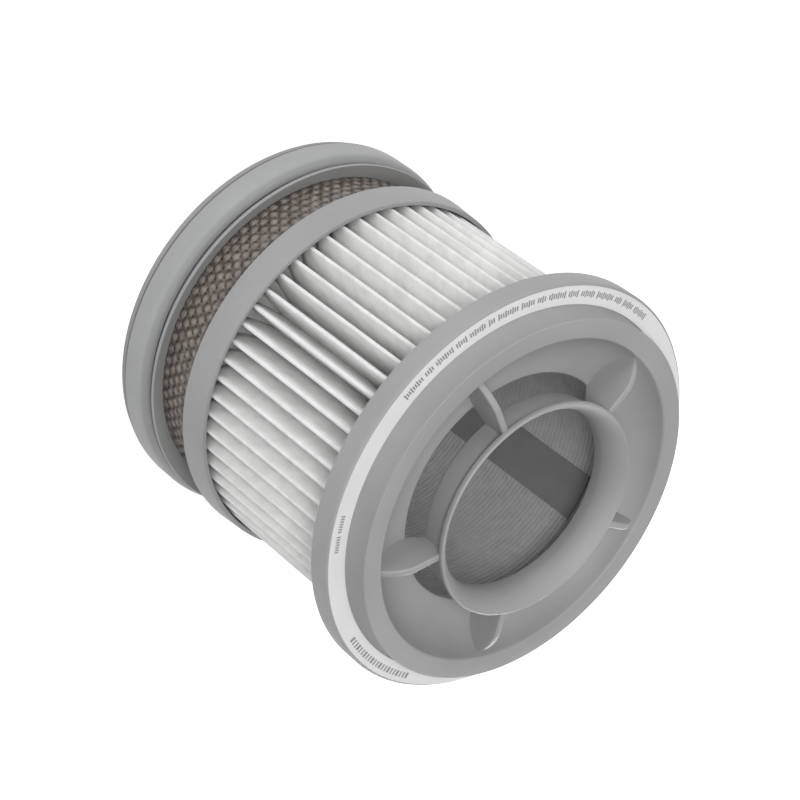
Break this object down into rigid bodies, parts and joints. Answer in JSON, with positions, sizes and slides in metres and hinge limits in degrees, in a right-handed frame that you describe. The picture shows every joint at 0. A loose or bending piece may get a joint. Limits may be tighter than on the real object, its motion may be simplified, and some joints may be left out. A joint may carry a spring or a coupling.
{
  "type": "vacuum cleaner filter cartridge",
  "caption": "Cylindrical pleated filter cartridge for a hand-held vacuum cleaner: open front with a ribbed hub ring, flange with a pale printed ring, white pleats, woven rear screen and a seal collar.",
  "frame": {"origin": "centre of the flat rear face, on which the cartridge stands", "axes": "+Z along the cartridge axis from the rear collar to the open front; -Y towards one of the five ribs"},
  "size_m": [0.0806, 0.0806, 0.0759],
  "materials": {
    "frame_grey": "moulded, fine satin grain",
    "label_white": "satin film",
    "pleat_white": "folded glass and fibre paper",
    "net_grey": "fine plastic net",
    "strip_dark": "smooth matt strip",
    "glue_pale": "cast glue",
    "screen_weave": "woven brown-grey monofilament",
    "seal_grey": "soft moulded elastomer"
  },
  "bodies": {
    "root": {"front_frame": "frame_grey", "rear_frame": "frame_grey", "label_ring": "label_white", "pleat_pack": "pleat_white", "core_net": "net_grey", "seam_strip": "strip_dark", "front_glue_bed": "glue_pale", "rear_glue_bed": "glue_pale", "woven_screen": "screen_weave", "seal_ring": "seal_grey"}
  },
  "joints": []
}
